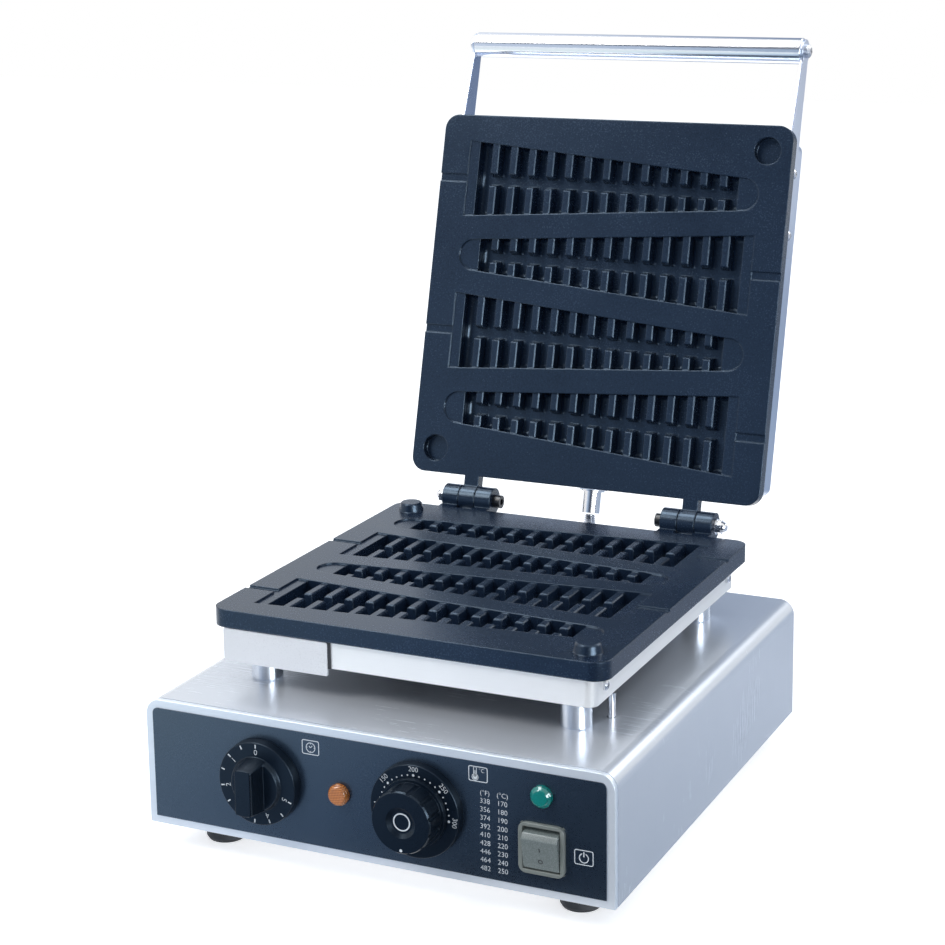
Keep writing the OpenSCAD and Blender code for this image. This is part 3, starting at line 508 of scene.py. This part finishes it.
plate_white = coated("plate_white", (0.74, 0.76, 0.80), 0.30, 1500, 0.00001, coat=0.3, spread=1.03)

# %% [markdown]
# ## Lamp lenses
# The orange lens has fine crossed grooves under its face, which scatter the lamp.
# The green one is clear, with a plain face.
# Two rows of waves at right angles give the grooves their height, and they paint light and shade into the
# colour as light and dark bars, for the lamp scattered by the grooves.


# %% Orange and green plastic
GROOVE_LEAN = math.radians(8)


def lens_plastic(name, colour, dark_tone_and_groove_shade, grooves):
    """A clear colour over a darker one, mixed by the grooves as painted light and shade, or by fine noise on a
    plain face. Grooves is how fine the crossed grooves are, or 0 for a plain face.
    """
    paint = Paint(name)
    height = paint.noise(1800, 2)
    if grooves:
        for way in ("X", "Z"):
            settings = {"Vector": paint.place(turn=(0, GROOVE_LEAN, 0)), "Scale": grooves, "Detail": 0.0}
            wave = paint.node("TexWave", {"bands_direction": way}, settings, out=1)
            height = height * 0.5 + wave * 0.75
    # On the grooved lens this mix paints light and shade into the colour, by the height of the grooves.
    tone = (height * 0.9).clipped()
    return print_finish(paint.surface(
        Base_Color=paint.mix(tone, dark_tone_and_groove_shade, colour),
        Roughness=0.26 if grooves else 0.16,
        Normal=paint.bump(height, 0.6 if grooves else 0.15, 0.0001),
        Coat_Weight=0.8,
        Coat_Roughness=0.08,
    ))


amber = lens_plastic("amber", (0.66, 0.24, 0.055), (0.26, 0.065, 0.008), 330)
green = lens_plastic("green", (0.0, 0.30, 0.27), (0.0, 0.14, 0.13), 0)

# %% [markdown]
# ## Which piece has which finish
# All the CAD pieces are in one table, so that a piece without a finish shows up in the printout.

# %% Assign
finish_of = {
    steel_sheet: ["base_shell", "rear_panel"],
    steel_panel: ["front_panel"],
    steel_bottom: ["bottom_plate"],
    heater_brown: ["lower_heater", "upper_heater"],
    steel_tray: ["lower_tray"],
    steel_cover: ["upper_cover"],
    steel_arm: ["arm_left", "arm_right"],
    steel_screw: ["foot_screw", "panel_screw", "post_screw", "tray_screw", "cover_screw",
                  "arm_screw", "handle_screw"],
    polished: ["handle_tube", "sensor_tube", "conduit_base_fitting", "conduit_lid_fitting",
               "hinge_nut", "hinge_washer"],
    turned: ["post"],
    steel_hose: ["conduit_hose"],
    plate_coat: ["lower_plate", "upper_plate"],
    bolt_black: ["hinge_bolt"],
    overlay_film: ["control_overlay"],
    knob_black: ["timer_knob", "thermostat_knob", "thermostat_dial", "cord_gland"],
    rubber_black: ["foot", "sensor_grommet"],
    switch_grey: ["switch_housing"],
    rocker_grey: ["switch_rocker"],
    pale_moulding: ["timer_body", "thermostat_body", "orange_lamp_body", "green_lamp_body"],
    mineral_mat: ["lower_insulation", "upper_insulation"],
    amber: ["orange_lens"],
    green: ["green_lens"],
}
for material, names in finish_of.items():
    for name in names:
        nodes[name].data.materials.clear()
        nodes[name].data.materials.append(material)
left = sorted(set(nodes) - {n for names in finish_of.values() for n in names})
print("nodes without a finish:", left)

# %% [markdown]
# ## Broken edges
# Cast, moulded and folded edges are never knife-sharp.
# The thin bright line along each is what makes them read.
# The CAD edges are sharp, so the nodes in this table get live modifiers.
# Weld joins their loose triangles, Decimate dissolves the flat ones, and Bevel rounds what is left.
# The mould plates and the fluted thermostat knob stay out, because a bevel tears them and throws spikes.

# %% Round the edges of the nodes
EDGE_R = {
    "timer_knob": 0.5, "thermostat_dial": 0.5, "switch_housing": 0.5, "switch_rocker": 0.5,
    "lower_tray": 0.4, "upper_cover": 0.5, "arm_left": 0.35, "arm_right": 0.35,
    "front_panel": 0.3, "orange_lens": 0.35, "green_lens": 0.35, "handle_tube": 0.4,
}


def round_edges(name, radius):
    piece = nodes[name]
    weld = piece.modifiers.new("weld", "WELD")
    weld.merge_threshold = 0.05 * MM
    flat = piece.modifiers.new("flat", "DECIMATE")
    flat.decimate_type, flat.angle_limit = "DISSOLVE", math.radians(1)
    edge = piece.modifiers.new("edge", "BEVEL")
    edge.width, edge.segments = radius * MM, 2
    edge.limit_method, edge.angle_limit = "ANGLE", math.radians(32)
    edge.use_clamp_overlap = False
    even = piece.modifiers.new("even", "WEIGHTED_NORMAL")
    even.keep_sharp = False
    shown = piece.evaluated_get(bpy.context.evaluated_depsgraph_get()).data
    print(name, len(piece.data.polygons), "->", len(shown.polygons), "faces")


for name, radius in EDGE_R.items():
    round_edges(name, radius)

# %% [markdown]
# ## The hose takes its place
# It stands for the plain tube of the CAD model.

# %% Fit the hose
hose.data.materials.append(steel_hose)
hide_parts("conduit_hose")
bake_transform(hose)
hose_length * MM

# %% [markdown]
# ## Print
# Numbers and signs are screen-printed on the film and pad-printed on the knobs.
# A texture would need an image or a font in a shader, so each mark is a real, very thin mesh.
# Figures come from Blender's own font.
# Frames, rings, dots and bars start as a plane or a circle, inset where they have a border, and extruded.
# Every mark is made lying flat and then stood up.

# %% Helpers for flat marks
PRINT_T = 0.05 * MM
STROKE_THINNED = 0.035 * MM


def thicken(line=None, gap=None):
    """In edit mode: keep a border, if asked, with a gap at its top, and give the flat shape its thickness."""
    bpy.ops.mesh.select_all(action="SELECT")
    if line:
        bpy.ops.mesh.inset(thickness=line)
        bpy.ops.mesh.delete(type="FACE")
        bpy.ops.mesh.select_all(action="SELECT")
    if gap:
        for side in (-gap, gap):
            bpy.ops.mesh.bisect(plane_co=(side, 0, 0), plane_no=(1, 0, 0))
            bpy.ops.mesh.select_all(action="SELECT")
        bpy.ops.mesh.select_all(action="DESELECT")
        bpy.ops.mesh.select_mode(type="FACE")
        bpy.ops.object.mode_set(mode="OBJECT")
        for face in bpy.context.object.data.polygons:
            face.select = abs(face.center.x) < gap and face.center.y > 0
        bpy.ops.object.mode_set(mode="EDIT")
        bpy.ops.mesh.delete(type="FACE")
        bpy.ops.mesh.select_mode(type="VERT")
        bpy.ops.mesh.select_all(action="SELECT")
    bpy.ops.mesh.extrude_region_move(TRANSFORM_OT_translate={"value": (0, 0, PRINT_T)})
    bpy.ops.mesh.select_all(action="SELECT")
    bpy.ops.mesh.normals_make_consistent(inside=False)
    bpy.ops.object.mode_set(mode="OBJECT")
    return bpy.context.object


def flat_box(w, h, corner=0.0, line=None):
    """A rectangle in millimetres, with rounded corners, whole or as a border."""
    bpy.ops.object.select_all(action="DESELECT")
    bpy.ops.mesh.primitive_plane_add(size=MM)
    bpy.context.object.scale = (w, h, 1)
    bpy.ops.object.transform_apply(scale=True)
    bpy.ops.object.mode_set(mode="EDIT")
    bpy.ops.mesh.select_all(action="SELECT")
    if corner:
        bpy.ops.mesh.bevel(offset=corner * MM, segments=4, affect="VERTICES")
    return thicken(line and line * MM)


def flat_round(r, line=None, sides=40, gap=None):
    """A disc or a ring in millimetres. A gap opens the ring at its top."""
    bpy.ops.object.select_all(action="DESELECT")
    bpy.ops.mesh.primitive_circle_add(vertices=sides, radius=r * MM, fill_type="NGON")
    bpy.ops.object.mode_set(mode="EDIT")
    return thicken(line and line * MM, gap and gap * MM)


def flat_text(words, size):
    """Plain figures, thinned a little, because a font's strokes are heavier than screen print."""
    bpy.ops.object.select_all(action="DESELECT")
    bpy.ops.object.text_add()
    made = bpy.context.object
    made.data.body, made.data.size = words, size * MM
    made.data.align_x, made.data.align_y = "CENTER", "CENTER"
    made.data.extrude, made.data.resolution_u = PRINT_T / 2, 4
    made.data.offset = -STROKE_THINNED
    bpy.ops.object.convert(target="MESH")
    return bpy.context.object


def front_of(name):
    """Y of the front of a piece, in millimetres."""
    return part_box(name)[0][1] / MM


def middle_of(name):
    """X and Z of the middle of a piece, in millimetres."""
    low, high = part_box(name)
    return (low[0] + high[0]) / 2 / MM, (low[2] + high[2]) / 2 / MM


def stand(mark, x, z, y, turn=0.0, lean=0.0):
    """Stand a flat mark up to face the front at a place in millimetres. Turn is clockwise, in degrees."""
    mark.matrix_world = (
        Matrix.Translation((x * MM, y * MM, z * MM))
        @ Matrix.Rotation(math.radians(lean), 4, "X")
        @ Matrix.Rotation(math.radians(turn), 4, "Y")
        @ Matrix.Rotation(math.radians(90), 4, "X")
    )
    return mark


def finish_piece(marks, name, body, finish):
    """Join marks into one piece, settle its place in its mesh, paint it and let it ride."""
    bpy.ops.object.select_all(action="DESELECT")
    for mark in marks:
        mark.select_set(True)
    bpy.context.view_layer.objects.active = marks[0]
    if len(marks) > 1:
        bpy.ops.object.join()
    piece = bpy.context.object
    bpy.ops.object.transform_apply(location=True, rotation=True, scale=True)
    piece.name = piece.data.name = name
    piece.data.materials.clear()
    piece.data.materials.append(finish)
    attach(piece, body)
    print("made:", name, len(piece.data.polygons), "faces, on", body)


# %% Signs on the film: a clock, a thermometer and a power switch
FOOT_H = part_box("front_panel")[0][2] / MM
FILM_Y = front_of("control_overlay")


def film(mark, x, z, turn=0.0):
    """Put a mark on the film. Z is above the cabinet's lower edge."""
    return stand(mark, x, FOOT_H + z, FILM_Y, turn)


FRAME_CORNER, FRAME_LINE = 1.1, 0.45
CLOCK, CLOCK_TICKS_R = (-35.3, 60.5), 2.3
QUARTERS = (0, math.pi / 2, math.pi, -math.pi / 2)
clock = [film(flat_box(10.5, 8.3, FRAME_CORNER, FRAME_LINE), -35.35, 60.6)]
clock.append(film(flat_round(2.9, 0.42), *CLOCK))
clock += [film(flat_box(0.4, 1.6), -34.75, 61.1, 40), film(flat_box(0.4, 1.2), -35.8, 60.9, -40)]
for a in QUARTERS:
    tick_x, tick_z = CLOCK[0] + CLOCK_TICKS_R * math.sin(a), CLOCK[1] + CLOCK_TICKS_R * math.cos(a)
    clock.append(film(flat_box(0.35, 0.8), tick_x, tick_z, math.degrees(a)))

BULB = (62.2, 60.0)
heat = [film(flat_box(11.0, 8.5, FRAME_CORNER, FRAME_LINE), 63.9, 61.8), film(flat_round(1.25), *BULB)]
heat += [film(flat_round(1.9, 0.35), *BULB), film(flat_box(2.0, 5.2, 0.9, 0.35), BULB[0], 63.2)]
heat += [film(flat_box(0.5, 3.6), BULB[0], 62.0), film(flat_text("°C", 3.0), 66.0, 63.8)]

POWER_X = 123.0
power = [film(flat_box(10.6, 8.3, FRAME_CORNER, FRAME_LINE), POWER_X, 26.1)]
power += [film(flat_box(0.55, 2.8), POWER_X, 27.8), film(flat_round(2.75, 0.5, gap=0.95), POWER_X, 25.8)]
finish_piece(clock + heat + power, "film_signs", "base", print_white)

# %% [markdown]
# The table gives each setting in both units, in rows of 10 degrees Celsius.
# Its figures are worked out, not typed in.

# %% The temperature table
HEAD_Z, ROW_TOP, ROW_PITCH = 51.9, 47.4, 4.67
HEAD_SIZE, FIGURE_SIZE = 3.8, 4.0
FAHRENHEIT_X, CELSIUS_X = 67.6, 77.5
table = [film(flat_text("(°F)", HEAD_SIZE), FAHRENHEIT_X, HEAD_Z)]
table.append(film(flat_text("(°C)", HEAD_SIZE), CELSIUS_X + 0.1, HEAD_Z))
for row in range(9):
    celsius = 170 + 10 * row
    fahrenheit = round(celsius * 9 / 5 + 32)
    z = ROW_TOP - row * ROW_PITCH
    table.append(film(flat_text(str(fahrenheit), FIGURE_SIZE), FAHRENHEIT_X, z))
    table.append(film(flat_text(str(celsius), FIGURE_SIZE), CELSIUS_X, z))
finish_piece(table, "temperature_table", "base", print_white)

# %% [markdown]
# ## Scales on the knobs
# The timer's scale is on its skirt and turns with it: a figure every 50 degrees and a bar every 25.
# The thermostat's scale is on the fixed ring round its knob.
# It has a dot for each ten degrees of heat and a larger one at each figure.

# %% Scales
TIMER, DIAL = middle_of("timer_knob"), middle_of("thermostat_dial")
KNOB_GAP, SKIRT_T = 0.4, 6
SKIRT_Y = FILM_Y - KNOB_GAP - SKIRT_T
RING_Y = front_of("thermostat_dial")


def round_scale(centre, y, items):
    """Stand marks round a centre: each item is a mark, its radius and its clockwise angle."""
    placed = []
    for mark, radius, angle in items:
        x = centre[0] + radius * math.sin(math.radians(angle))
        z = centre[1] + radius * math.cos(math.radians(angle))
        placed.append(stand(mark, x, z, y, angle))
    return placed


MINUTE = 50
items = [(flat_box(0.75, 2.1), 21.6, -MINUTE / 2 * k) for k in range(11)]
items += [(flat_text(str(k), 4.5), 18.0, -MINUTE * k) for k in range(6)]
finish_piece(round_scale(TIMER, SKIRT_Y, items), "timer_scale", "timer_dial", print_white)

STEP = 9.55
DOTS_R = 20.4
items = [(flat_round(0.45, sides=16), DOTS_R, k * STEP) for k in range(-8, 11) if k % 5]
items += [(flat_round(0.72, sides=20), DOTS_R, k * 5 * STEP) for k in (-1, 0, 1, 2)]
items += [(flat_text(str(200 + 50 * k), 3.9), 23.6, k * 5 * STEP) for k in (-1, 0, 1, 2)]
items += [(flat_box(0.5, 2.2), 22.6, -9 * STEP)]
finish_piece(round_scale(DIAL, RING_Y, items), "thermostat_scale", "base", print_white)

# %% Marks on the thermostat knob
CAP_Y = front_of("thermostat_knob")
RING_DEPTH, POINTER_R = 1.55, 15.2
cap_marks = [stand(flat_round(5.0, 0.75, 48), *DIAL, CAP_Y + RING_DEPTH)]
cap_marks += [stand(flat_round(0.85, sides=20), DIAL[0], DIAL[1] - POINTER_R, CAP_Y)]
finish_piece(cap_marks, "knob_marks", "heat_dial", print_white)

# %% [markdown]
# ## Switch marks
# The rocker is pressed at its lower end at rest, so its face leans, and the I and O lean with it.

# %% I and O on the rocker
ROCKER_TILT = 12
SWITCH = middle_of("switch_housing")
SWITCH_LIP, PIVOT_U, ROCKER_U = 2.6, 5.6, 7.4
PIVOT_Y = FILM_Y - SWITCH_LIP + PIVOT_U


def on_rocker(mark, up):
    """Put a mark on the leaning face of the rocker, so far above its middle."""
    a = math.radians(ROCKER_TILT)
    y = PIVOT_Y - ROCKER_U * math.cos(a) - up * math.sin(a)
    z = SWITCH[1] + up * math.cos(a) - ROCKER_U * math.sin(a)
    return stand(mark, SWITCH[0], z, y, lean=ROCKER_TILT)


switch_marks = [on_rocker(flat_box(0.55, 2.3), 2.4), on_rocker(flat_round(1.35, 0.5, 28), -4.6)]
finish_piece(switch_marks, "rocker_marks", "rocker", print_dark)

# %% [markdown]
# ## Name plate
# A plate stands at the left of the tray's front. It stays blank here.
# It is a plane with rounded corners, extruded and bevelled.
# A thin dark pad behind it, a little wider to the right, shows as a dark line along its edge: painted shade
# for the shadow there.

# %% A blank plate
PLATE_T, SHADOW_PAD_T = 1.35 * MM, 1.0 * MM
TRAY_FRONT = front_of("lower_tray")
TRAY_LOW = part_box("lower_tray")[0][2] / MM
blank = flat_box(66.5, 19.6, 1.2)
bpy.ops.object.mode_set(mode="EDIT")
bpy.ops.mesh.select_all(action="DESELECT")
bpy.ops.object.mode_set(mode="OBJECT")
for vertex in blank.data.vertices:
    vertex.select = vertex.co.z > PRINT_T / 2
bpy.ops.object.mode_set(mode="EDIT")
bpy.ops.transform.translate(value=(0, 0, PLATE_T - PRINT_T))
bpy.ops.object.mode_set(mode="OBJECT")
soft = blank.modifiers.new("soft", "BEVEL")
soft.width, soft.segments = 0.25 * MM, 2
bpy.ops.object.modifier_apply(modifier="soft")
blank = stand(blank, -78.3, TRAY_LOW + 5.6, TRAY_FRONT)
finish_piece([blank], "blank_plate", "base", plate_white)

# Painted shade: this dark pad stands for the shadow along the plate's edge.
shadow_pad = flat_box(64, 15.2)
shadow_pad.scale = (1, 1, SHADOW_PAD_T / PRINT_T)
bpy.ops.object.transform_apply(scale=True)
shadow_pad = stand(shadow_pad, -75.4, TRAY_LOW + 7.8, TRAY_FRONT)
finish_piece([shadow_pad], "plate_shadow_pad", "base", print_dark)
